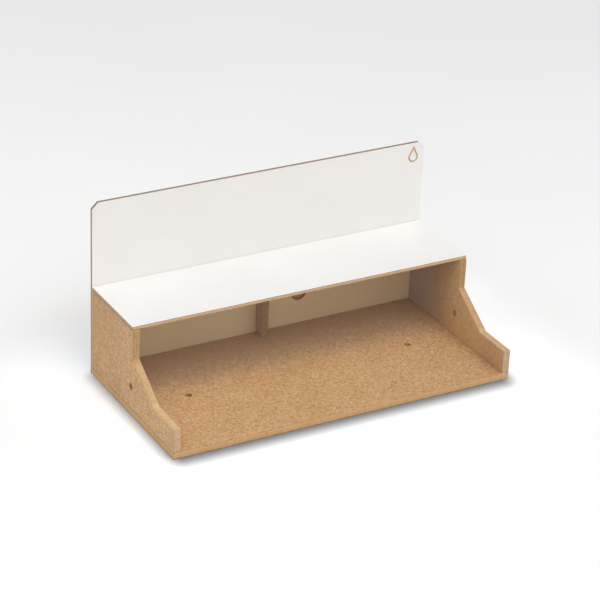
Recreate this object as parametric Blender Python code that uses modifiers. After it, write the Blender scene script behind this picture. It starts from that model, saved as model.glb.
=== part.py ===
"""Paint rack organizer: a glued fibreboard bench tray with a raised rear shelf and a tall backboard.

The origin is on the bench, under the middle of the object. +X is to the right, -Y to the front and +Z up.
Every board is its own object. Boards that are glued together keep a hairline gap.
"""

import math

import bmesh
import bpy
from mathutils import Matrix

# Overall size, in metres.
WIDTH = 0.300
DEPTH = 0.150
HEIGHT = 0.150

# Board thicknesses: raw MDF for the structure, white-faced HDF sheet for the shelf and the backboard.
MDF = 0.006
SHEET = 0.003
GAP = 0.0003
EDGE_ROUNDING = 0.0004

# Rear shelf.
SHELF_TOP = 0.078
SHELF_DEPTH = 0.074

# Side panels: a low arm in front, a slope, and a tall block under the shelf.
ARM_HEIGHT = 0.020
ARM_LENGTH = 0.036
UPRIGHT_FOOT = 0.0432
UPRIGHT_LEAD = 0.001

# Backboard.
CORNER_CUT = 0.0053
ROUND_RECESS_DIAMETER = 0.015
ROUND_RECESS_DEPTH = 0.0024
ROUND_RECESS_X = 0.0365
ROUND_RECESS_Z = 0.0345
DROP_X = 0.1399
DROP_Z = 0.1373
DROP_RADIUS = 0.0046
DROP_TIP = 0.0101
DROP_STROKE = 0.0014
DROP_DEPTH = 0.0005

# Centre support behind the shelf.
SUPPORT_DEPTH = 0.011

# Locating holes in the base and in the side panels.
LOCATING_HOLE_DIAMETER = 0.005
BASE_HOLE_SPACING = 0.200
SIDE_HOLE_HEIGHT = 0.025
HOLE_SEGMENTS = 40
DROP_STEPS = 24

# Positions that follow from the driving sizes.
FRONT = -DEPTH / 2
REAR = DEPTH / 2
BACKBOARD_FACE = REAR - SHEET
PANEL_REAR = BACKBOARD_FACE - GAP
SHELF_UNDERSIDE = SHELF_TOP - SHEET
SHELF_FRONT = BACKBOARD_FACE - SHELF_DEPTH
SIDE_BOTTOM = MDF + GAP
SIDE_TOP = SHELF_UNDERSIDE - GAP

# Turns that stand a flat outline up: its (x, y) becomes (x, z), or (y, z).
UPRIGHT_XZ = Matrix.Rotation(math.pi / 2, 4, "X")
UPRIGHT_YZ = Matrix(((0, 0, 1, 0), (1, 0, 0, 0), (0, 1, 0, 0), (0, 0, 0, 1)))

# Colour, roughness and metallic value of each finish.
RAW_MDF = ((0.53, 0.31, 0.145, 1.0), 0.85, 0.0)
RAW_MDF_UPRIGHT = ((0.50, 0.30, 0.15, 1.0), 0.85, 0.0)
WHITE_SHEET = ((0.87, 0.86, 0.84, 1.0), 0.45, 0.0)


def clear_scene():
    for obj in list(bpy.data.objects):
        bpy.data.objects.remove(obj, do_unlink=True)


def new_collection(name):
    collection = bpy.data.collections.new(name)
    bpy.context.scene.collection.children.link(collection)
    return collection


def principled(name, finish):
    colour, roughness, metallic = finish
    material = bpy.data.materials.new(name)
    material.use_nodes = True
    shader = material.node_tree.nodes["Principled BSDF"]
    shader.inputs["Base Color"].default_value = colour
    shader.inputs["Roughness"].default_value = roughness
    shader.inputs["Metallic"].default_value = metallic
    return material


def mesh_object(name, bm, collection):
    mesh = bpy.data.meshes.new(name)
    bm.to_mesh(mesh)
    bm.free()
    obj = bpy.data.objects.new(name, mesh)
    collection.objects.link(obj)
    return obj


def box(name, low, high, collection):
    """A box between two corners, with its origin at its centre."""
    size = [b - a for a, b in zip(low, high)]
    bm = bmesh.new()
    bmesh.ops.create_cube(bm, size=1.0)
    bmesh.ops.scale(bm, vec=size, verts=bm.verts)
    obj = mesh_object(name, bm, collection)
    obj.location = [(a + b) / 2 for a, b in zip(low, high)]
    return obj


def flat_board(name, outlines, thickness, collection):
    """A board cut to closed outlines of (x, y) points, as a welded mesh. A second outline inside the first is a hole."""
    curve = bpy.data.curves.new(name, "CURVE")
    curve.dimensions = "2D"
    curve.fill_mode = "BOTH"
    curve.extrude = thickness / 2
    for outline in outlines:
        spline = curve.splines.new("POLY")
        spline.points.add(len(outline) - 1)
        for point, (x, y) in zip(spline.points, outline):
            point.co = (x, y, 0.0, 1.0)
        spline.use_cyclic_u = True
    guide = bpy.data.objects.new(name + "_outline", curve)
    bpy.context.scene.collection.objects.link(guide)
    graph = bpy.context.evaluated_depsgraph_get()
    mesh = bpy.data.meshes.new_from_object(guide.evaluated_get(graph))
    bpy.data.objects.remove(guide, do_unlink=True)
    bm = bmesh.new()
    bm.from_mesh(mesh)
    bmesh.ops.remove_doubles(bm, verts=bm.verts, dist=1e-6)
    bmesh.ops.dissolve_limit(bm, angle_limit=math.radians(1), verts=bm.verts, edges=bm.edges)
    bmesh.ops.recalc_face_normals(bm, faces=bm.faces)
    bm.to_mesh(mesh)
    bm.free()
    obj = bpy.data.objects.new(name, mesh)
    collection.objects.link(obj)
    return obj


def hide_cutter(cutter):
    cutter.hide_render = True
    cutter.display_type = "WIRE"


def round_cutter(name, diameter, length, centre, axis, collection):
    """A cylinder of the given length whose middle is at centre and which runs along X, Y or Z."""
    turn = {
        "X": Matrix.Rotation(math.pi / 2, 4, "Y"),
        "Y": Matrix.Rotation(math.pi / 2, 4, "X"),
        "Z": Matrix.Identity(4),
    }[axis]
    bm = bmesh.new()
    bmesh.ops.create_cone(
        bm,
        cap_ends=True,
        segments=HOLE_SEGMENTS,
        radius1=diameter / 2,
        radius2=diameter / 2,
        depth=length,
        matrix=turn,
    )
    cutter = mesh_object(name, bm, collection)
    cutter.location = centre
    hide_cutter(cutter)
    return cutter


def drop_outline(radius, tip):
    """(x, y) points of a drop: an arc about the origin, and a tip above it that the arc's ends point to."""
    opening = math.acos(radius / tip)
    start = math.pi / 2 + opening
    sweep = 2 * (math.pi - opening)
    angles = [start + sweep * step / DROP_STEPS for step in range(DROP_STEPS + 1)]
    return [(0.0, tip)] + [(radius * math.cos(a), radius * math.sin(a)) for a in angles]


def drop_cutter(name, centre, collection):
    """The groove of the engraved drop: the band between two drops whose sides are a stroke apart."""
    inner = DROP_RADIUS - DROP_STROKE
    outlines = [
        drop_outline(DROP_RADIUS, DROP_TIP),
        drop_outline(inner, DROP_TIP * inner / DROP_RADIUS),
    ]
    cutter = flat_board(name, outlines, 2 * DROP_DEPTH, collection)
    cutter.data.transform(UPRIGHT_XZ)
    cutter.location = centre
    hide_cutter(cutter)
    return cutter


def round_edges(obj, width=EDGE_ROUNDING):
    bevel = obj.modifiers.new("rounded_edges", "BEVEL")
    bevel.width = width
    bevel.segments = 2
    bevel.limit_method = "ANGLE"
    bevel.angle_limit = math.radians(20)


def cut(obj, cutter):
    boolean = obj.modifiers.new("cut_" + cutter.name, "BOOLEAN")
    boolean.operation = "DIFFERENCE"
    boolean.solver = "EXACT"
    boolean.object = cutter


def base_board(parts, cutters):
    """The floor of the tray, with two locating holes on the middle line of its depth."""
    board = box("base_board", (-WIDTH / 2, FRONT, 0.0), (WIDTH / 2, PANEL_REAR, MDF), parts)
    round_edges(board)
    for side, x in (("left", -BASE_HOLE_SPACING / 2), ("right", BASE_HOLE_SPACING / 2)):
        name = "base_hole_" + side
        cut(board, round_cutter(name, LOCATING_HOLE_DIAMETER, 3 * MDF, (x, 0.0, MDF / 2), "Z", cutters))
    board.data.materials.append(principled("mdf_base", RAW_MDF))


def side_outline():
    """(y, z) points of a side panel: arm, slope, upright front under the shelf, top and rear edge."""
    upright = SHELF_FRONT - UPRIGHT_LEAD
    return [
        (FRONT, SIDE_BOTTOM),
        (PANEL_REAR, SIDE_BOTTOM),
        (PANEL_REAR, SIDE_TOP),
        (upright, SIDE_TOP),
        (upright, MDF + UPRIGHT_FOOT),
        (FRONT + ARM_LENGTH, MDF + ARM_HEIGHT),
        (FRONT, MDF + ARM_HEIGHT),
    ]


def side_panel(side, centre_x, parts, cutters):
    """A side panel that stands on the base board, with one locating hole through it."""
    panel = flat_board("side_panel_" + side, [side_outline()], MDF, parts)
    panel.data.transform(UPRIGHT_YZ)
    panel.location.x = centre_x
    round_edges(panel)
    place = (centre_x, 0.0, SIDE_HOLE_HEIGHT)
    cut(panel, round_cutter("side_hole_" + side, LOCATING_HOLE_DIAMETER, 3 * MDF, place, "X", cutters))
    panel.data.materials.append(principled("mdf_side_" + side, RAW_MDF_UPRIGHT))


def rear_shelf(parts):
    """The white-faced shelf that lies on both side panels."""
    low = (-WIDTH / 2, SHELF_FRONT, SHELF_UNDERSIDE)
    high = (WIDTH / 2, PANEL_REAR, SHELF_TOP)
    shelf = box("rear_shelf", low, high, parts)
    round_edges(shelf, EDGE_ROUNDING / 2)
    shelf.data.materials.append(principled("white_shelf", WHITE_SHEET))


def backboard(parts, cutters):
    """The full-height white-faced rear sheet, with cut top corners, a blind round recess and an engraved drop."""
    half = WIDTH / 2
    outline = [
        (-half, 0.0),
        (half, 0.0),
        (half, HEIGHT - CORNER_CUT),
        (half - CORNER_CUT, HEIGHT),
        (-half + CORNER_CUT, HEIGHT),
        (-half, HEIGHT - CORNER_CUT),
    ]
    board = flat_board("backboard", [outline], SHEET, parts)
    board.data.transform(UPRIGHT_XZ)
    board.location.y = REAR - SHEET / 2
    round_edges(board, EDGE_ROUNDING / 2)
    place = (ROUND_RECESS_X, BACKBOARD_FACE, ROUND_RECESS_Z)
    cut(board, round_cutter("round_recess", ROUND_RECESS_DIAMETER, 2 * ROUND_RECESS_DEPTH, place, "Y", cutters))
    cut(board, drop_cutter("engraved_drop", (DROP_X, BACKBOARD_FACE, DROP_Z), cutters))
    board.data.materials.append(principled("white_backboard", WHITE_SHEET))


def centre_support(parts):
    """The narrow upright strip that carries the middle of the shelf and stiffens the backboard."""
    low = (-MDF / 2, BACKBOARD_FACE - SUPPORT_DEPTH, SIDE_BOTTOM)
    high = (MDF / 2, PANEL_REAR, SIDE_TOP)
    strip = box("centre_support", low, high, parts)
    round_edges(strip)
    strip.data.materials.append(principled("mdf_support", RAW_MDF_UPRIGHT))


def main():
    clear_scene()
    parts = new_collection("paint_rack_organizer")
    cutters = new_collection("cutters")
    base_board(parts, cutters)
    for side, sign in (("left", -1), ("right", 1)):
        side_panel(side, sign * (WIDTH - MDF) / 2, parts, cutters)
    rear_shelf(parts)
    backboard(parts, cutters)
    centre_support(parts)


main()
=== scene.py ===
"""Looks of the paint rack organizer: boards of raw MDF and white-lacquered HDF on a studio floor.

Lengths are in metres. Shader patterns are laid out in millimetres of the row frame.
"""

import math

import bmesh
import bpy
import numpy as np
from mathutils import Matrix, Vector, noise
from mathutils.geometry import delaunay_2d_cdt


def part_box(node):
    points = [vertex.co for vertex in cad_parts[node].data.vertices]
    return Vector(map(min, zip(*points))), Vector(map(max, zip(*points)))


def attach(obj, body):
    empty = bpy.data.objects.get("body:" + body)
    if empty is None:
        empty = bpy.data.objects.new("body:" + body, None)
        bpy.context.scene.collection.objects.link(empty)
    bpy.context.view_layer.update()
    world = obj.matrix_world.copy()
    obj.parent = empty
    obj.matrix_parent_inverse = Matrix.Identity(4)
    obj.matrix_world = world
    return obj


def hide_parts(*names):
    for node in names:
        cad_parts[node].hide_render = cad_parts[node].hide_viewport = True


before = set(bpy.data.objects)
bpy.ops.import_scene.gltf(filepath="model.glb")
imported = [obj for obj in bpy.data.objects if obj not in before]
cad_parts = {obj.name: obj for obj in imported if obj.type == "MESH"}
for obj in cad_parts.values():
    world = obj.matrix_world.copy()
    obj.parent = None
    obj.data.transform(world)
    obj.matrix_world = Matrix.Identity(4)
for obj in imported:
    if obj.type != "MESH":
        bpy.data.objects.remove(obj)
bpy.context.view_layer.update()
MM = 0.001

# Camera: its place, its turn in degrees and its lens in millimetres.
CAMERA_PLACE = (-0.85735, -1.49096, 0.94954)
CAMERA_YAW = 29.81
CAMERA_PITCH = 27.135
CAMERA_ROLL = 2.40
LENS = 146.765
SENSOR = 36.0

# The boards' outlines, beyond what their boxes say.
ARM_TOP = 26.0 * MM
ARM_LENGTH = 36.0 * MM
UPRIGHT_FOOT = 49.2 * MM
UPRIGHT_LEAD = 1.0 * MM
CORNER_CUT = 5.3 * MM
LOCATING_HOLE = 5.0 * MM
BASE_HOLE_X = 100.0 * MM
SIDE_HOLE_Z = 25.0 * MM
RECESS = 15.0 * MM
RECESS_DEPTH = 2.4 * MM
RECESS_X = 36.5 * MM
RECESS_Z = 34.5 * MM
DROP_X = 139.9 * MM
DROP_Z = 137.3 * MM
DROP_RADIUS = 4.6 * MM
DROP_TIP = 10.1 * MM
DROP_STROKE = 1.4 * MM
DROP_DEPTH = 0.5 * MM

# Glued boards meet at a hairline seam.
SEAM = 0.02 * MM

# Fineness of the meshes.
SAMPLE_STEP = 1.6 * MM
FACE_STEP = 9.0 * MM
FACE_MARGIN = 3.0 * MM
WALL_RINGS = (0.35, 0.5, 0.65)
HOLE_STEPS = 56
DROP_STEPS = 36
CORNER_STEPS = 3
ROUNDING_STEPS = 3

# A sharp corner's inset is held back, so that it can't run away.
LEAST_MITRE = 0.3

# How the flat faces are triangulated: inside the loops only, and how close points count as one.
INSIDE_LOOPS = 1
SAME_POINT = 1e-10

# How far a real cut strays: a slow wobble, small chips along it, and faces that aren't quite flat.
CORNER_RADIUS = 0.35 * MM
WOBBLE = 0.05 * MM
WOBBLE_LENGTH = 7.0 * MM
CHIP = 0.35 * MM
CHIP_LENGTH = 2.2 * MM
CHIP_LEVEL = 0.42
FACE_WAVE = 0.03 * MM
FACE_WAVE_LENGTH = 45.0 * MM

# Edge profiles, as (depth below the face, inset) from a face down to the sawn edge.
LACQUER = 0.13 * MM
CORE_INSET = 0.05 * MM
LACQUER_PROFILE = [(0.0, 0.10 * MM), (0.03 * MM, 0.03 * MM), (0.10 * MM, 0.0), (LACQUER, 0.0)]
REAR_PROFILE = [(0.0, 0.24 * MM), (0.07 * MM, 0.12 * MM), (0.24 * MM, CORE_INSET)]
GROOVE_PROFILE = [(0.0, 0.05 * MM), (0.05 * MM, 0.0), (LACQUER, 0.0)]
MDF_ROUNDING = 0.38 * MM

# The row-frame axis of each board coordinate: u and v across the board's face, w through its thickness.
BOARD_AXES = {"Z": (0, 1, 2), "X": (1, 2, 0), "Y": (0, 2, 1)}

# Where the floor starts to turn grey and where it ends, along the way that the camera faces.
NEAR_FLOOR = -0.12
FAR_FLOOR = 0.85
NEAR_FLOOR_TONES = ((0.950, 0.950, 0.950, 1), (0.965, 0.965, 0.965, 1))
FAR_FLOOR_TONES = ((0.765, 0.765, 0.765, 1), (0.785, 0.785, 0.785, 1))

# The soft shade on the floor round the base's foot: how far it reaches from a box a little inside the base.
FOOT_SHADE = (0.24, 0.25, 0.26, 1)
FOOT_SHADE_WIDTH = 21.6 * MM
FOOT_SHADE_INSET = 8.1 * MM
FOOT_SHADE_FRONT_INSET = 0.5 * MM

# A faint cool painted glow: the floor itself emits it outside that shade, keeping the floor clean white,
# and it fades out further from the base.
FILL_COLOUR = (0.80, 0.91, 1.0, 1)
FILL_STRENGTH = 0.27
FILL_WIDTH = 115 * MM

# Material slots of every board.
FACE, EDGE, REAR, CUT = 0, 1, 2, 3


# ---------------------------------------------------------------- outlines


def rounded(points):
    """The outline with each corner turned into a small arc that touches both sides."""
    result = []
    for index, corner in enumerate(points):
        here = Vector(corner)
        to_last = (Vector(points[index - 1]) - here).normalized()
        to_next = (Vector(points[(index + 1) % len(points)]) - here).normalized()
        half = to_last.angle(to_next) / 2
        reach = CORNER_RADIUS / math.tan(half)
        centre = here + (to_last + to_next).normalized() * (CORNER_RADIUS / math.sin(half))
        start = (here + to_last * reach - centre).normalized()
        end = (here + to_next * reach - centre).normalized()
        for step in range(CORNER_STEPS + 1):
            result.append(centre + start.slerp(end, step / CORNER_STEPS) * CORNER_RADIUS)
    return result


def sampled(points):
    """The outline with extra points, so that none is further than a step from the next."""
    result = []
    for index, here in enumerate(points):
        after = points[(index + 1) % len(points)]
        count = max(1, math.ceil((after - here).length / SAMPLE_STEP))
        result += [here.lerp(after, part / count) for part in range(count)]
    return result


def cut_outline(points):
    return sampled(rounded(points))


def circle(x, y, diameter):
    """A hole's outline. It runs clockwise, so that the board's material is on its left."""
    angles = [-2 * math.pi * step / HOLE_STEPS for step in range(HOLE_STEPS)]
    return [Vector((x, y)) + Vector((math.cos(a), math.sin(a))) * diameter / 2 for a in angles]


def drop(radius):
    """The engraved drop's outline, anticlockwise: an arc, and the tip above it that its ends point to."""
    tip = DROP_TIP * radius / DROP_RADIUS
    opening = math.acos(radius / tip)
    start = math.pi / 2 + opening
    sweep = 2 * (math.pi - opening)
    angles = [start + sweep * step / DROP_STEPS for step in range(DROP_STEPS + 1)]
    points = [Vector((0.0, tip))] + [Vector((math.cos(a), math.sin(a))) * radius for a in angles]
    return [Vector((DROP_X, DROP_Z)) + point for point in points]


def inward(points):
    """At each point, the move into the material that shifts both neighbouring sides by one."""
    moves = []
    for index, here in enumerate(points):
        before = (here - points[index - 1]).normalized()
        after = (points[(index + 1) % len(points)] - here).normalized()
        left = Vector((-before.y - after.y, before.x + after.x))
        moves.append(left / max(LEAST_MITRE, 1 + before.dot(after)))
    return moves


def quarter_round(radius):
    """(depth, inset) of a rounded arris, from the face to the sawn edge."""
    angles = [math.pi / 2 * step / ROUNDING_STEPS for step in range(ROUNDING_STEPS + 1)]
    return [(radius * (1 - math.cos(a)), radius * (1 - math.sin(a))) for a in angles]


def inside(points, loops):
    """For each point, whether it lies between the loops: in the outer one and in no hole."""
    points = np.array(points, float).reshape(-1, 1, 2)
    hits = np.zeros(len(points), int)
    for loop in loops:
        a = np.array(loop, float)
        b = np.roll(a, -1, axis=0)
        spans = (a[:, 1] > points[..., 1]) != (b[:, 1] > points[..., 1])
        rise = np.where(a[:, 1] == b[:, 1], 1.0, b[:, 1] - a[:, 1])
        x = a[:, 0] + (points[..., 1] - a[:, 1]) * (b[:, 0] - a[:, 0]) / rise
        hits += (spans & (points[..., 0] < x)).sum(axis=1)
    return hits % 2 == 1


def face_points(loops):
    """Points on a staggered grid between the loops and clear of them, for even triangles."""
    rim = np.concatenate([np.array(loop, float) for loop in loops])
    low, high = rim.min(axis=0), rim.max(axis=0)
    columns, rows = ((high - low) / FACE_STEP).astype(int) + 1
    grid = np.array([(c + 0.5 * (r % 2), r) for r in range(rows) for c in range(columns)], float)
    grid = low + (grid + 0.5) * FACE_STEP
    grid = grid[inside(grid, loops)]
    gaps = np.array([np.linalg.norm(rim - point, axis=1).min() for point in grid])
    return [Vector(point) for point in grid[gaps > FACE_MARGIN]] if len(grid) else []


# ---------------------------------------------------------------- boards


class Board:
    """The mesh of one board while it is cut. Its front is the face at w = front, and its rear the other."""

    def __init__(self, axis, front, rear, seed):
        self.axes = BOARD_AXES[axis]
        self.front = front
        self.thickness = abs(rear - front)
        self.way = math.copysign(1.0, rear - front)
        self.seed = seed
        self.bm = bmesh.new()

    def vertex(self, point, depth):
        place = [0.0, 0.0, 0.0]
        for axis, value in zip(self.axes, (*point, self.front + self.way * depth)):
            place[axis] = value
        return self.bm.verts.new(place)

    def flat(self, vertex):
        return Vector((vertex.co[self.axes[0]], vertex.co[self.axes[1]]))

    def stray(self, point, depth):
        """How far the cut strays into the material: a slow wobble, and a chip here and there."""
        slow = noise.noise(Vector((*point, depth + self.seed)) / WOBBLE_LENGTH)
        quick = noise.noise(Vector((*point, 0.4 * depth + self.seed)) / CHIP_LENGTH)
        return WOBBLE * (0.5 + 0.5 * slow) + CHIP * max(0.0, quick - CHIP_LEVEL)

    def ring(self, points, depth, inset):
        moves = inward(points)
        return [self.vertex(p + m * (inset + self.stray(p, depth)), depth) for p, m in zip(points, moves)]

    def wall(self, points, stations, slots):
        """A wall through (depth, inset) stations, with a slot for each band. Returns its two end rings."""
        rings = [self.ring(points, depth, inset) for depth, inset in stations]
        for upper, lower, slot in zip(rings, rings[1:], slots):
            for index in range(len(upper)):
                after = (index + 1) % len(upper)
                face = self.bm.faces.new((upper[index], upper[after], lower[after], lower[index]))
                face.material_index = slot
        return rings[0], rings[-1]

    def cap(self, rings, depth, slot, dip):
        """A face between rings. Away from them its depth gains dip times a slow wave of a hair's height."""
        loops = [[self.flat(vertex) for vertex in ring] for ring in rings]
        rim = [vertex for ring in rings for vertex in ring]
        edges = []
        for ring in rings:
            first = len(edges)
            edges += [(first + i, first + (i + 1) % len(ring)) for i in range(len(ring))]
        points = [point for loop in loops for point in loop] + face_points(loops)
        places, _, triangles, *_ = delaunay_2d_cdt(points, edges, [], INSIDE_LOOPS, SAME_POINT)
        vertices = rim + [self.vertex(place, depth + dip * self.wave(place)) for place in places[len(rim):]]
        middles = [sum((places[corner] for corner in t), Vector((0, 0))) / 3 for t in triangles]
        for triangle, kept in zip(triangles, inside(middles, loops)):
            if kept:
                self.bm.faces.new([vertices[corner] for corner in triangle]).material_index = slot

    def wave(self, point):
        return FACE_WAVE * (0.5 + 0.5 * noise.noise(Vector((*point, self.seed)) / FACE_WAVE_LENGTH))

    def through(self, outlines, front_profile, rear_profile, front_slots):
        """A wall from front to rear for every outline, and the rear face. Returns the front rings.

        The first outline is the board's edge, and the others are holes.
        """
        middle = [(self.thickness * part, rear_profile[-1][1]) for part in WALL_RINGS]
        stations = front_profile + middle + [(self.thickness - d, inset) for d, inset in rear_profile[::-1]]
        ends = []
        for outline, slot in zip(outlines, [EDGE] + [CUT] * len(outlines)):
            slots = front_slots + [slot] * (len(stations) - 1 - len(front_slots))
            ends.append(self.wall(outline, stations, slots))
        self.cap([rear for _, rear in ends], self.thickness, REAR, -1)
        return [front for front, _ in ends]

    def finish(self, name, materials):
        bmesh.ops.recalc_face_normals(self.bm, faces=self.bm.faces)
        mesh = bpy.data.meshes.new(name)
        self.bm.to_mesh(mesh)
        self.bm.free()
        mesh.shade_smooth()
        for material in materials:
            mesh.materials.append(material)
        piece = bpy.data.objects.new(name, mesh)
        bpy.context.scene.collection.objects.link(piece)
        normals = piece.modifiers.new("face_normals", "WEIGHTED_NORMAL")
        normals.mode = "FACE_AREA"
        return piece


def mdf_board(name, axis, front, rear, outlines, seed, materials):
    """A raw MDF board with slightly rounded arrises."""
    board = Board(axis, front, rear, seed)
    profile = quarter_round(MDF_ROUNDING)
    fronts = board.through(outlines, profile, profile, [])
    board.cap(fronts, 0.0, FACE, 1)
    return board.finish(name, materials)


def lacquered_board(name, axis, front, rear, outlines, seed, materials, cuts=()):
    """An HDF sheet with white lacquer on its front face, which ends in a crisp arris at every cut.

    cuts are functions that each carve a shallow shape into the front and return its rim.
    """
    board = Board(axis, front, rear, seed)
    profile = LACQUER_PROFILE + [(LACQUER, CORE_INSET)]
    fronts = board.through(outlines, profile, REAR_PROFILE, [FACE] * (len(LACQUER_PROFILE) - 1))
    fronts += [carve(board) for carve in cuts]
    board.cap(fronts, 0.0, FACE, 1)
    return board.finish(name, materials)


def engrave_drop(board):
    """The groove between two drops, cut through the lacquer into the sheet. Returns its outer rim."""
    stations = GROOVE_PROFILE + [(DROP_DEPTH, 0.0)]
    slots = [FACE] * (len(GROOVE_PROFILE) - 1) + [CUT]
    rim, outer_foot = board.wall(drop(DROP_RADIUS)[::-1], stations, slots)
    island, inner_foot = board.wall(drop(DROP_RADIUS - DROP_STROKE), stations, slots)
    board.cap([outer_foot, inner_foot], DROP_DEPTH, CUT, 0)
    board.cap([island], 0.0, FACE, 0)
    return rim


def bore_recess(board):
    """A blind round recess, which leaves a thin floor of bare HDF. Returns its rim."""
    stations = GROOVE_PROFILE + [(depth, CORE_INSET) for depth in (LACQUER, RECESS_DEPTH / 2, RECESS_DEPTH)]
    slots = [FACE] * (len(GROOVE_PROFILE) - 1) + [CUT] * 3
    rim, foot = board.wall(circle(RECESS_X, RECESS_Z, RECESS), stations, slots)
    board.cap([foot], RECESS_DEPTH, CUT, 0)
    return rim


# ---------------------------------------------------------------- materials


class Nodes:
    """The node tree of one material. Every method adds a node and returns its output."""

    def __init__(self, name):
        self.material = bpy.data.materials.new(name)
        self.material.use_nodes = True
        self.tree = self.material.node_tree
        self.shader = self.tree.nodes["Principled BSDF"]

    def add(self, kind, inputs, output=0, **settings):
        node = self.tree.nodes.new("ShaderNode" + kind)
        for name, value in settings.items():
            setattr(node, name, value)
        for socket, value in inputs.items():
            if isinstance(value, bpy.types.NodeSocket):
                self.tree.links.new(value, node.inputs[socket])
            else:
                node.inputs[socket].default_value = value
        return node.outputs[output]

    def place(self, offset, stretch=(1.0, 1.0, 1.0)):
        """The row frame's coordinates in millimetres, stretched by axis and then moved by an offset."""
        object_place = self.add("TexCoord", {}, "Object")
        scale = tuple(factor / MM for factor in stretch)
        return self.add("Mapping", {"Vector": object_place, "Location": offset, "Scale": scale})

    def noise(self, place, size, detail=2.0, roughness=0.5, distortion=0.0):
        """Noise from 0 to 1 whose features are about size millimetres across."""
        inputs = {
            "Vector": place,
            "Scale": 1 / size,
            "Detail": detail,
            "Roughness": roughness,
            "Distortion": distortion,
        }
        return self.add("TexNoise", inputs, "Fac")

    def math(self, operation, a, b=0.0, clamp=False):
        return self.add("Math", {0: a, 1: b}, operation=operation, use_clamp=clamp)

    def remap(self, value, low, high, to_low=0.0, to_high=1.0):
        """value from low..high to to_low..to_high, with soft ends."""
        inputs = {"Value": value, 1: low, 2: high, 3: to_low, 4: to_high}
        return self.add("MapRange", inputs, interpolation_type="SMOOTHSTEP")

    def mix(self, factor, a, b, blend="MIX"):
        inputs = {"Factor": factor, 6: a, 7: b}
        return self.add("Mix", inputs, 2, data_type="RGBA", blend_type=blend)

    def fibres(self, place, size, width):
        """Thin curling lines, 1 on a line and 0 beside it: the middle contour of a distorted noise."""
        field = self.noise(place, size, detail=1.0, distortion=1.6)
        distance = self.math("ABSOLUTE", self.math("SUBTRACT", field, 0.5))
        return self.remap(distance, 0.0, width, 1.0, 0.0)

    def specks(self, place, size, radius, share):
        """Small round specks, one in some cells of a jittered grid."""
        inputs = {"Vector": place, "Scale": 1 / size}
        distance = self.add("TexVoronoi", inputs, "Distance")
        colour = self.add("TexVoronoi", inputs, "Color")
        chosen = self.math("LESS_THAN", self.add("SeparateColor", {"Color": colour}, 0), share)
        return self.math("MULTIPLY", self.remap(distance, 0.3 * radius, radius, 1.0, 0.0), chosen)

    def across(self, axis, low, high):
        """Where a point lies along an axis: 0 at low and 1 at high."""
        place = self.add("TexCoord", {}, "Object")
        value = self.add("SeparateXYZ", {0: place}, "XYZ".index(axis))
        return self.add("MapRange", {"Value": value, 1: low, 2: high})

    def shaded(self, colour, shades):
        """The colour times the tint of every shade: (axis, where it starts, where it is full, tint)."""
        for axis, start, full, tint in shades:
            colour = self.mix(self.across(axis, start, full), colour, tint, "MULTIPLY")
        return colour

    def finish(self, colour, roughness, height, depth, specular=0.5):
        """Links the patterns to the shader, and returns the material."""
        bump = self.add("Bump", {"Height": height, "Distance": depth, "Strength": 1.0})
        self.tree.links.new(colour, self.shader.inputs["Base Color"])
        self.tree.links.new(roughness, self.shader.inputs["Roughness"])
        self.tree.links.new(bump, self.shader.inputs["Normal"])
        self.shader.inputs["Specular IOR Level"].default_value = specular
        return self.material


def weighted(nodes, parts, base=0.5):
    """base plus each pattern's departure from its middle, times its weight."""
    total = base
    for pattern, middle, weight in parts:
        part = nodes.math("MULTIPLY", nodes.math("SUBTRACT", pattern, middle), weight)
        total = nodes.math("ADD", part, total)
    return total


def mdf_face(name, offset, tones, shades=(), faded=None):
    """The sanded face of raw MDF: blotches, matted clumps of fibre, fine curled fibres and dark specks.

    faded is an axis and the two places between which the pattern fades to two fifths of its strength, where
    the shade under the shelf falls.
    """
    nodes = Nodes(name)
    place = nodes.place(offset)
    blotch = nodes.noise(place, 30.0, detail=1.0)
    patch = nodes.noise(place, 8.0, detail=1.0)
    clump = nodes.noise(place, 3.0, detail=2.0, roughness=0.6, distortion=0.7)
    grit = nodes.noise(place, 1.1, detail=2.0, roughness=0.6)
    light_fibre = nodes.fibres(place, 2.6, 0.035)
    dark_fibre = nodes.fibres(nodes.place(offset[::-1]), 3.4, 0.025)
    speck = nodes.specks(place, 5.0, 0.10, 0.4)
    parts = [
        (blotch, 0.5, 0.2),
        (patch, 0.5, 0.15),
        (clump, 0.5, 1.05),
        (grit, 0.5, 1.6),
        (light_fibre, 0.15, 0.22),
        (dark_fibre, 0.1, -0.24),
        (speck, 0.0, -0.5),
    ]
    tone = weighted(nodes, parts, 0.0)
    if faded:
        tone = nodes.math("MULTIPLY", tone, nodes.remap(nodes.across(*faded), 0.0, 1.0, 1.0, 0.4))
    tone = nodes.math("ADD", tone, 0.5, clamp=True)
    colour = nodes.shaded(nodes.mix(tone, tones[0], tones[1]), shades)
    relief = [(clump, 0.5, 0.5), (grit, 0.5, 0.35), (light_fibre, 0.15, 0.3), (speck, 0.0, -0.6)]
    height = weighted(nodes, relief)
    roughness = nodes.remap(clump, 0.2, 0.8, 0.78, 0.92)
    return nodes.finish(colour, roughness, height, 0.05 * MM, specular=0.25)


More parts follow.
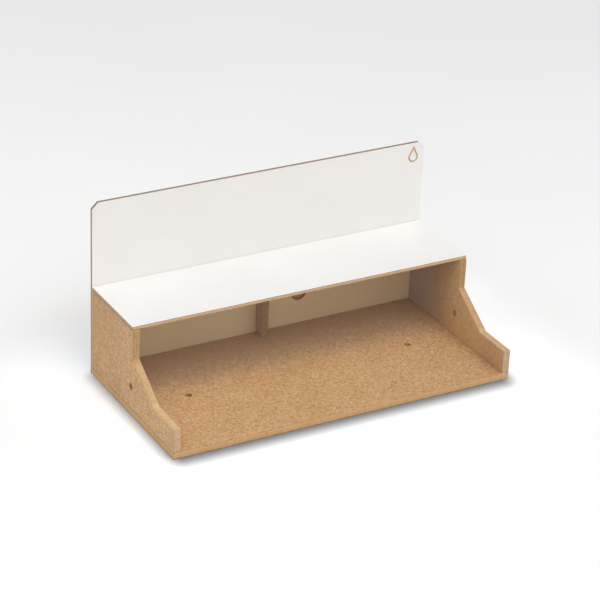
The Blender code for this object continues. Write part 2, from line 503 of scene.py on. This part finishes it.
def mdf_edge(name, offset, axis, low, high, tones, lines, shades=()):
    """A sawn MDF edge: a loose core between pressed skins, in thin layers, with chatter marks across.

    lines holds (place, half width, strength) of dark lines that run along the edge.
    """
    nodes = Nodes(name)
    core, skin, dark = tones
    through = nodes.across(axis, low, high)
    layered = [6.0 if letter == axis else 0.35 for letter in "XYZ"]
    crossed = [0.12 if letter == axis else 1.0 for letter in "XYZ"]
    layers = nodes.noise(nodes.place(offset, layered), 3.0, detail=3.0, roughness=0.65)
    chatter = nodes.noise(nodes.place(offset, crossed), 1.1, detail=1.0)
    grit = nodes.noise(nodes.place(offset), 0.6, detail=1.0)
    broken = nodes.noise(nodes.place(offset, [0.0 if letter == axis else 1.0 for letter in "XYZ"]), 4.5)
    pit = nodes.specks(nodes.place(offset), 2.4, 0.16, 0.35)
    depth = nodes.math("ABSOLUTE", nodes.math("SUBTRACT", through, 0.5))
    skin_share = nodes.remap(nodes.math("ADD", depth, nodes.math("MULTIPLY", layers, 0.12)), 0.26, 0.50)
    colour = nodes.mix(skin_share, core, skin)
    parts = [
        (layers, 0.5, 1.0),
        (chatter, 0.5, 1.05),
        (grit, 0.5, 1.3),
        (broken, 0.5, 0.6),
        (pit, 0.0, -0.7),
    ]
    shade = weighted(nodes, parts, 0.38)
    for centre, half_width, strength in lines:
        distance = nodes.math("ABSOLUTE", nodes.math("SUBTRACT", through, centre))
        line = nodes.remap(distance, 0.3 * half_width, half_width, strength, 0.0)
        line = nodes.math("MULTIPLY", line, nodes.remap(broken, 0.35, 0.55, 0.35, 1.0))
        shade = nodes.math("SUBTRACT", shade, line)
    colour = nodes.shaded(nodes.mix(nodes.remap(shade, -0.5, 0.4, 1.0, 0.0), colour, dark), shades)
    height = weighted(nodes, [(layers, 0.5, 0.6), (chatter, 0.5, 0.5), (grit, 0.5, 0.3), (pit, 0.0, -0.8)])
    roughness = nodes.remap(grit, 0.2, 0.8, 0.84, 0.95)
    return nodes.finish(colour, roughness, height, 0.09 * MM, specular=0.2)


def white_lacquer(name, offset, tones, shades=()):
    """Satin white lacquer: a faint orange peel, a breath of tone and a few dull patches from handling."""
    nodes = Nodes(name)
    place = nodes.place(offset)
    cloud = nodes.noise(place, 60.0, detail=2.0)
    dust = nodes.specks(place, 14.0, 0.02, 0.25)
    peel = nodes.noise(place, 1.6, detail=1.0)
    colour = nodes.mix(nodes.remap(cloud, 0.3, 0.7), tones[0], tones[1])
    colour = nodes.shaded(colour, shades)
    colour = nodes.mix(nodes.math("MULTIPLY", dust, DUST_SHARE), colour, DUST_TONE)
    roughness = nodes.remap(nodes.noise(place, 22.0, detail=3.0), 0.3, 0.7, 0.36, 0.46)
    return nodes.finish(colour, roughness, peel, 0.012 * MM, specular=0.4)


def hdf_rear(name, offset):
    """The bare rear face of the sheet: smooth, dark tan and finely flecked."""
    nodes = Nodes(name)
    place = nodes.place(offset)
    blotch = nodes.noise(place, 40.0, detail=2.0)
    fleck = nodes.noise(place, 1.4, detail=3.0, roughness=0.65, distortion=0.5)
    fibre = nodes.fibres(place, 2.2, 0.03)
    speck = nodes.specks(place, 6.0, 0.07, 0.3)
    parts = [(blotch, 0.5, 0.5), (fleck, 0.5, 0.9), (fibre, 0.15, 0.18), (speck, 0.0, -0.5)]
    tone = nodes.math("ADD", weighted(nodes, parts), 0.0, clamp=True)
    colour = nodes.mix(tone, REAR_TONES[0], REAR_TONES[1])
    roughness = nodes.remap(fleck, 0.2, 0.8, 0.55, 0.70)
    return nodes.finish(colour, roughness, fleck, 0.02 * MM, specular=0.4)


def studio_white(name):
    """The pale floor: matt, greyer towards the rear, barely mottled, shaded round the base's foot, and lit
    beyond that by a faint painted glow of its own.
    """
    nodes = Nodes(name)
    mottle = nodes.noise(nodes.place((0.0, 0.0, 0.0)), 250.0, detail=2.0)
    near = nodes.mix(mottle, NEAR_FLOOR_TONES[0], NEAR_FLOOR_TONES[1])
    far = nodes.mix(mottle, FAR_FLOOR_TONES[0], FAR_FLOOR_TONES[1])
    along = (math.sin(math.radians(CAMERA_YAW)), math.cos(math.radians(CAMERA_YAW)), 0.0)
    place = nodes.add("TexCoord", {}, "Object")
    way = nodes.add("VectorMath", {0: place, 1: along}, "Value", operation="DOT_PRODUCT")
    colour = nodes.mix(nodes.add("MapRange", {"Value": way, 1: NEAR_FLOOR, 2: FAR_FLOOR}), near, far)
    distance = foot_distance(nodes, place)
    clear = nodes.remap(distance, 0.0, FOOT_SHADE_WIDTH)
    colour = nodes.mix(clear, nodes.mix(1.0, colour, FOOT_SHADE, "MULTIPLY"), colour)
    # Painted glow: the floor's own emission, kept out of the foot's shade and fading with distance from the
    # base.
    fill = nodes.math("MULTIPLY", clear, nodes.remap(distance, 0.0, FILL_WIDTH, FILL_STRENGTH, 0.0))
    nodes.tree.links.new(fill, nodes.shader.inputs["Emission Strength"])
    nodes.shader.inputs["Emission Color"].default_value = FILL_COLOUR
    return nodes.finish(colour, nodes.remap(mottle, 0.3, 0.7, 0.6, 0.7), mottle, 0.01 * MM, specular=0.2)


def foot_distance(nodes, place):
    """How far a floor point is from a box a little inside the base."""
    low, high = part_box("base_board")
    starts = (low.x + FOOT_SHADE_INSET, low.y + FOOT_SHADE_FRONT_INSET)
    ends = (high.x - FOOT_SHADE_INSET, high.y - FOOT_SHADE_INSET)
    squares = 0.0
    for axis, (start, end) in enumerate(zip(starts, ends)):
        value = nodes.add("SeparateXYZ", {0: place}, axis)
        from_middle = nodes.math("ABSOLUTE", nodes.math("SUBTRACT", value, (start + end) / 2))
        beyond = nodes.math("MAXIMUM", nodes.math("SUBTRACT", from_middle, (end - start) / 2), 0.0)
        squares = nodes.math("ADD", nodes.math("MULTIPLY", beyond, beyond), squares)
    return nodes.math("SQRT", squares)


# ---------------------------------------------------------------- pieces

# Tones of each surface, dark then light for a face, and core, skin and dark for a sawn edge.
FLOOR_TONES = ((0.365, 0.178, 0.050, 1), (0.720, 0.484, 0.268, 1))
OUTER_TONES = ((0.262, 0.136, 0.049, 1), (0.628, 0.409, 0.226, 1))
INNER_TONES = ((0.410, 0.238, 0.108, 1), (0.625, 0.396, 0.209, 1))
BASE_TONES = ((0.640, 0.385, 0.192, 1), (0.665, 0.405, 0.203, 1), (0.340, 0.175, 0.073, 1))
# Both side panels are one MDF; the right one's darker edge tones are painted shade.
SIDE_TONES = {
    "left": ((0.700, 0.457, 0.262, 1), (0.675, 0.440, 0.248, 1), (0.300, 0.175, 0.090, 1)),
    "right": ((0.625, 0.405, 0.222, 1), (0.605, 0.392, 0.214, 1), (0.260, 0.150, 0.075, 1)),
}
# The support's edge is in darker, greyer tones than the sides' edges of the same MDF: painted shade.
SUPPORT_TONES = ((0.430, 0.300, 0.195, 1), (0.450, 0.315, 0.205, 1), (0.220, 0.130, 0.075, 1))
SHELF_TONES = ((0.590, 0.405, 0.234, 1), (0.500, 0.335, 0.200, 1), (0.210, 0.115, 0.055, 1))
# The backboard's edge is darker than the shelf's edge of the same HDF: painted shade.
HDF_TONES = ((0.330, 0.215, 0.140, 1), (0.300, 0.195, 0.125, 1), (0.135, 0.080, 0.048, 1))
FLOOR_HOLE_TONES = ((0.350, 0.205, 0.085, 1), (0.580, 0.360, 0.172, 1))
SIDE_HOLE_TONES = ((0.300, 0.150, 0.055, 1), (0.560, 0.310, 0.140, 1))
CUT_TONES = ((0.440, 0.290, 0.165, 1), (0.700, 0.480, 0.290, 1))
# The backboard's lacquer is lighter than the shelf's of the same white, darkened again towards its top by a
# tint: painted light and shade.
LACQUER_TONES = ((0.830, 0.806, 0.784, 1), (0.852, 0.830, 0.811, 1))
SHELF_LACQUER_TONES = ((0.795, 0.784, 0.761, 1), (0.817, 0.810, 0.789, 1))
REAR_TONES = ((0.270, 0.170, 0.095, 1), (0.430, 0.285, 0.180, 1))
DUST_TONE = (0.55, 0.50, 0.44, 1)
DUST_SHARE = 0.25

# Tints that multiply a tone over part of a board, as the light falls in the photo.
LEFT_TINT = (1.07, 1.06, 1.09, 1)
RIGHT_TINT = (0.95, 0.94, 0.98, 1)
BASE_END_TINT = (0.80, 0.83, 0.86, 1)
OUTER_HALF_TINT = (0.86, 0.86, 0.87, 1)
ARM_END_TINTS = {"left": (0.78, 0.82, 0.87, 1), "right": (0.80, 0.86, 0.97, 1)}
SLOPE_TINTS = {"left": (0.86, 0.85, 0.765, 1), "right": (0.86, 0.80, 0.74, 1)}
UPRIGHT_TINT = (0.79, 0.77, 0.74, 1)
SHELF_END_TINT = (0.70, 0.71, 0.71, 1)
SHELF_RIGHT_TINT = (1.07, 1.07, 1.065, 1)
SHELF_LEFT_TINT = (1.035, 1.035, 1.035, 1)
LACQUER_TOP_TINT = (0.918, 0.917, 0.904, 1)
# Darker on the backboard just above the shelf: painted shade in the joint.
JOINT_SHADE_TINT = (0.93, 0.93, 0.93, 1)
# Warmer on the backboard's lacquer below the shelf: painted warm shade.
WARM_SHADE_TINT = (1.11, 0.945, 0.660, 1)
# Greyer tints under the shelf, on the floor board, the inner faces and the support: painted shade.
UNDER_SHELF_SHADE_TINT = (1.08, 1.28, 1.85, 1)
DEEP_TINT = (1.05, 1.20, 1.85, 1)
SUPPORT_TINT = (1.04, 1.36, 2.40, 1)

# Painted light and shade over whole faces: the axis, where the tint starts and where it is full, and the
# tint.
FLOOR_SHADES = [
    ("Y", -60 * MM, -20 * MM, (1.06, 1.03, 1.03, 1)),
    ("Y", 8 * MM, 24 * MM, (0.90, 0.92, 0.92, 1)),
    ("Y", 30 * MM, 42 * MM, (1.03, 1.04, 1.05, 1)),
]
OUTER_SHADES = [("Y", 35 * MM, -15 * MM, (1.10, 1.12, 1.16, 1))]
INNER_SHADES = [
    ("Y", -60 * MM, -30 * MM, (1.20, 1.28, 1.36, 1)),
    ("Y", 0.0, 30 * MM, (0.77, 0.83, 1.00, 1)),
    ("Z", 24 * MM, 40 * MM, (0.98, 1.02, 1.08, 1)),
]

# Where the pattern starts to fade in the shade under the shelf, and where it is faintest.
FLOOR_FADE = ("Y", 5 * MM, 55 * MM)
SIDE_FADE = ("Y", 5 * MM, 35 * MM)

# Where the other tints start or end.
FLOOR_SIDE_START = 20 * MM
DEEP_START = 20 * MM
SHELF_RIGHT_START = 95 * MM
SHELF_LEFT_START = -115 * MM
BASE_END = (1.2 * MM, 0.5 * MM)
SHELF_END = (0.8 * MM, 0.3 * MM)
ARM_END = (0.8 * MM, 0.3 * MM)
SLOPE_START = (0.6 * MM, 2.5 * MM)
UPRIGHT_BLEND = 3 * MM
JOINT_SHADE_BAND = (1.4 * MM, 0.6 * MM)

# Dark lines along the sawn edges: the place across the edge, half the width, and the strength.
# On the base, the line at the bottom arris is painted shade, and the one at the top arris partly the
# board's denser skin and partly painted shade.
BASE_LINES = [(0.96, 0.10, 0.65), (0.45, 0.03, 0.2), (0.0, 0.25, 0.5)]
SIDE_LINES = [(0.57, 0.07, 0.35)]
SUPPORT_LINES = [(0.5, 0.05, 0.2)]
SHELF_LINES = [(0.94, 0.17, 1.2), (0.05, 0.12, 0.4)]
BACKBOARD_LINES = [(0.9, 0.08, 0.6)]


def settle(piece, node):
    """Puts a piece in the place of a CAD node."""
    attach(piece, "root")
    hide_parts(node)


def rectangle(low, high):
    return cut_outline([low, (high[0], low[1]), high, (low[0], high[1])])


def end_shades(reach, depths, tint):
    """Shades at both ends of a board that reaches from -reach to reach along X."""
    start, full = depths
    return [("X", side * (reach - start), side * (reach - full), tint) for side in (-1, 1)]


def base_board(rear_y):
    low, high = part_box("base_board")
    outlines = [rectangle((low.x, low.y), (high.x, rear_y))]
    outlines += [circle(side * BASE_HOLE_X, 0.0, LOCATING_HOLE) for side in (-1, 1)]
    place = (0.0, 0.0, 0.0)
    # Painted light and shade on the floor board: greyer under the shelf, and lighter or darker from front
    # to rear and towards either end.
    shades = [
        ("Y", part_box("rear_shelf")[0].y, rear_y, UNDER_SHELF_SHADE_TINT),
        *FLOOR_SHADES,
        ("X", -FLOOR_SIDE_START, low.x, LEFT_TINT),
        ("X", FLOOR_SIDE_START, high.x, RIGHT_TINT),
    ]
    face = mdf_face("mdf_floor", place, FLOOR_TONES, shades, FLOOR_FADE)
    holes = mdf_face("mdf_floor_holes", place, FLOOR_HOLE_TONES)
    # The base's end faces are painted darker: painted shade.
    ends = end_shades(high.x, BASE_END, BASE_END_TINT)
    edge = mdf_edge("mdf_floor_edge", place, "Z", low.z, high.z, BASE_TONES, BASE_LINES, ends)
    materials = (face, edge, face, holes)
    piece = mdf_board("base_board_mdf", "Z", high.z, low.z, outlines, 0.11, materials)
    settle(piece, "base_board")


def side_outline(node, low_z, high_z, rear_y, upright_y):
    front_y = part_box(node)[0].y
    return cut_outline([
        (front_y, low_z),
        (rear_y, low_z),
        (rear_y, high_z),
        (upright_y, high_z),
        (upright_y, UPRIGHT_FOOT),
        (front_y + ARM_LENGTH, ARM_TOP),
        (front_y, ARM_TOP),
    ])


def side_panel(side, way, low_z, high_z, rear_y, upright_y):
    node = "side_panel_" + side
    low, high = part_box(node)
    outer, inner = (low.x, high.x) if way < 0 else (high.x, low.x)
    outlines = [side_outline(node, low_z, high_z, rear_y, upright_y)]
    outlines += [circle(0.0, SIDE_HOLE_Z, LOCATING_HOLE)]
    offset = (way * 170.0, 40.0, 90.0)
    # The outer faces are painted lighter towards the front: painted light.
    outer_face = mdf_face("mdf_outer_" + side, offset, OUTER_TONES, OUTER_SHADES)
    holes = mdf_face("mdf_holes_" + side, offset, SIDE_HOLE_TONES)
    # Painted light and shade on the inner faces: lighter from behind the arm's front end, darker and greyer
    # under the shelf.
    inner_light_and_shade = [*INNER_SHADES, ("Y", DEEP_START, rear_y, DEEP_TINT)]
    inner_face = mdf_face("mdf_inner_" + side, offset[::-1], INNER_TONES, inner_light_and_shade, SIDE_FADE)
    # Painted light and shade on the sawn edges: darker towards the outer face, darker up the slope and
    # again up the upright, and darker on the arm's front end.
    shades = [
        ("X", (outer + inner) / 2, outer, OUTER_HALF_TINT),
        ("Z", ARM_TOP + SLOPE_START[0], ARM_TOP + SLOPE_START[1], SLOPE_TINTS[side]),
        ("Z", UPRIGHT_FOOT - UPRIGHT_BLEND, UPRIGHT_FOOT + UPRIGHT_BLEND, UPRIGHT_TINT),
        ("Y", low.y + ARM_END[0], low.y + ARM_END[1], ARM_END_TINTS[side]),
    ]
    edge = mdf_edge("mdf_edge_" + side, offset, "X", low.x, high.x, SIDE_TONES[side], SIDE_LINES, shades)
    materials = (outer_face, edge, inner_face, holes)
    piece = mdf_board(node + "_mdf", "X", outer, inner, outlines, 0.3 + way * 0.07, materials)
    settle(piece, node)


def centre_support(low_z, high_z, rear_y):
    low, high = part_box("centre_support")
    outline = rectangle((low.y, low_z), (rear_y, high_z))
    offset = (60.0, 310.0, 20.0)
    # The support's face is greyer and its edge darker: painted shade.
    face = mdf_face("mdf_support", offset, INNER_TONES, [("Z", low_z, low_z + MM, SUPPORT_TINT)])
    edge = mdf_edge("mdf_support_edge", offset, "X", low.x, high.x, SUPPORT_TONES, SUPPORT_LINES)
    piece = mdf_board("centre_support_mdf", "X", low.x, high.x, [outline], 0.53, (face, edge, face))
    settle(piece, "centre_support")


def rear_shelf(rear_y):
    low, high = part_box("rear_shelf")
    offset = (20.0, 80.0, 400.0)
    # The shelf's end edges are darker, and its lacquer is painted lighter towards both ends: painted light.
    ends = end_shades(high.x, SHELF_END, SHELF_END_TINT)
    edge = mdf_edge("hdf_edge_shelf", offset, "Z", low.z, high.z, SHELF_TONES, SHELF_LINES, ends)
    shades = [
        ("X", SHELF_RIGHT_START, high.x, SHELF_RIGHT_TINT),
        ("X", SHELF_LEFT_START, low.x, SHELF_LEFT_TINT),
    ]
    lacquer = white_lacquer("lacquer_shelf", offset, SHELF_LACQUER_TONES, shades)
    materials = (lacquer, edge, hdf_rear("hdf_underside", offset))
    outline = rectangle((low.x, low.y), (high.x, rear_y))
    piece = lacquered_board("rear_shelf_faced", "Z", high.z, low.z, [outline], 0.71, materials)
    settle(piece, "rear_shelf")


def backboard():
    low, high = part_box("backboard")
    outline = cut_outline([
        (low.x, low.z),
        (high.x, low.z),
        (high.x, high.z - CORNER_CUT),
        (high.x - CORNER_CUT, high.z),
        (low.x + CORNER_CUT, high.z),
        (low.x, high.z - CORNER_CUT),
    ])
    offset = (310.0, 20.0, 150.0)
    edge = mdf_edge("hdf_edge_backboard", offset, "Y", high.y, low.y, HDF_TONES, BACKBOARD_LINES)
    shelf_low, shelf_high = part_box("rear_shelf")
    # Painted light and shade on the backboard's lacquer: darker towards its top, a darker band just above
    # the shelf, and warmer below the shelf.
    shades = [
        ("Z", shelf_high.z, high.z, LACQUER_TOP_TINT),
        ("Z", shelf_high.z + JOINT_SHADE_BAND[0], shelf_high.z + JOINT_SHADE_BAND[1], JOINT_SHADE_TINT),
        ("Z", shelf_low.z, shelf_low.z - MM, WARM_SHADE_TINT),
    ]
    lacquer = white_lacquer("lacquer_backboard", offset, LACQUER_TONES, shades)
    cut_wood = mdf_face("hdf_cuts", offset, CUT_TONES)
    materials = (lacquer, edge, hdf_rear("hdf_rear", offset), cut_wood)
    cuts = (engrave_drop, bore_recess)
    piece = lacquered_board("backboard_faced", "Y", low.y, high.y, [outline], 0.93, materials, cuts)
    settle(piece, "backboard")


def all_pieces():
    """Every board, closed up to its neighbours so that each glued joint is a hairline seam."""
    rear_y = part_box("backboard")[0].y - SEAM
    low_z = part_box("base_board")[1].z + SEAM
    high_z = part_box("rear_shelf")[0].z - SEAM
    upright_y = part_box("rear_shelf")[0].y - UPRIGHT_LEAD
    base_board(rear_y)
    side_panel("left", -1, low_z, high_z, rear_y, upright_y)
    side_panel("right", 1, low_z, high_z, rear_y, upright_y)
    centre_support(low_z, high_z, rear_y)
    rear_shelf(rear_y)
    backboard()


# ---------------------------------------------------------------- studio

FLOOR_SIZE = 14.0
FLOOR_DROP = 0.05 * MM
BACKDROP = 0.9

# The soft lights: degrees round from the front towards +X, degrees up, strength, tightness.
SOFT_LIGHTS = [
    (12.0, 62.0, 4.0, 12.0),
    (-118.0, 0.0, 2.3, 8.0),
    (-60.0, 35.0, 1.05, 8.0),
    (74.0, 0.0, 1.5, 5.4),
]
AMBIENT = 0.31


def studio_floor():
    """A wide pale floor, a hair below the base board."""
    bpy.ops.mesh.primitive_plane_add(size=FLOOR_SIZE, location=(0.0, 0.0, -FLOOR_DROP))
    floor = bpy.context.object
    floor.name = "studio_floor"
    floor.data.materials.append(studio_white("studio_white"))


def lights():
    """A studio round the object: broad soft lights over an even glow. The camera sees a plain backdrop."""
    world = bpy.data.worlds.new("studio")
    world.use_nodes = True
    tree = world.node_tree
    shader = tree.nodes["Background"]
    shader.inputs["Color"].default_value = (1.0, 1.0, 1.0, 1.0)

    def maths(operation, *values):
        node = tree.nodes.new("ShaderNodeMath")
        node.operation = operation
        for socket, value in zip(node.inputs, values):
            if isinstance(value, bpy.types.NodeSocket):
                tree.links.new(value, socket)
            else:
                socket.default_value = value
        return node.outputs[0]

    heading = tree.nodes.new("ShaderNodeTexCoord").outputs["Generated"]
    total = AMBIENT
    for round_degrees, up_degrees, strength, gather in SOFT_LIGHTS:
        turn, tip = math.radians(round_degrees), math.radians(up_degrees)
        facing = tree.nodes.new("ShaderNodeVectorMath")
        facing.operation = "DOT_PRODUCT"
        tree.links.new(heading, facing.inputs[0])
        facing.inputs[1].default_value = (
            math.sin(turn) * math.cos(tip),
            -math.cos(turn) * math.cos(tip),
            math.sin(tip),
        )
        glow = maths("POWER", maths("MAXIMUM", facing.outputs["Value"], 0.0), gather)
        total = maths("ADD", maths("MULTIPLY", glow, strength), total)
    seen = tree.nodes.new("ShaderNodeLightPath").outputs["Is Camera Ray"]
    unseen = maths("MULTIPLY", total, maths("SUBTRACT", 1.0, seen))
    tree.links.new(maths("ADD", unseen, maths("MULTIPLY", seen, BACKDROP)), shader.inputs["Strength"])
    bpy.context.scene.world = world


def camera():
    """The viewing angle: turned from +Y towards +X, tipped down, and rolled a little."""
    data = bpy.data.cameras.new("camera")
    data.lens = LENS
    data.sensor_width = SENSOR
    data.clip_end = 50.0
    eye = bpy.data.objects.new("camera", data)
    turn = Matrix.Rotation(math.radians(-CAMERA_YAW), 4, "Z")
    tip = Matrix.Rotation(math.radians(90.0 - CAMERA_PITCH), 4, "X")
    roll = Matrix.Rotation(math.radians(CAMERA_ROLL), 4, "Z")
    eye.matrix_world = Matrix.Translation(CAMERA_PLACE) @ turn @ tip @ roll
    bpy.context.scene.collection.objects.link(eye)
    bpy.context.scene.camera = eye


all_pieces()
studio_floor()
lights()
camera()
bpy.context.scene.view_settings.view_transform = "Standard"
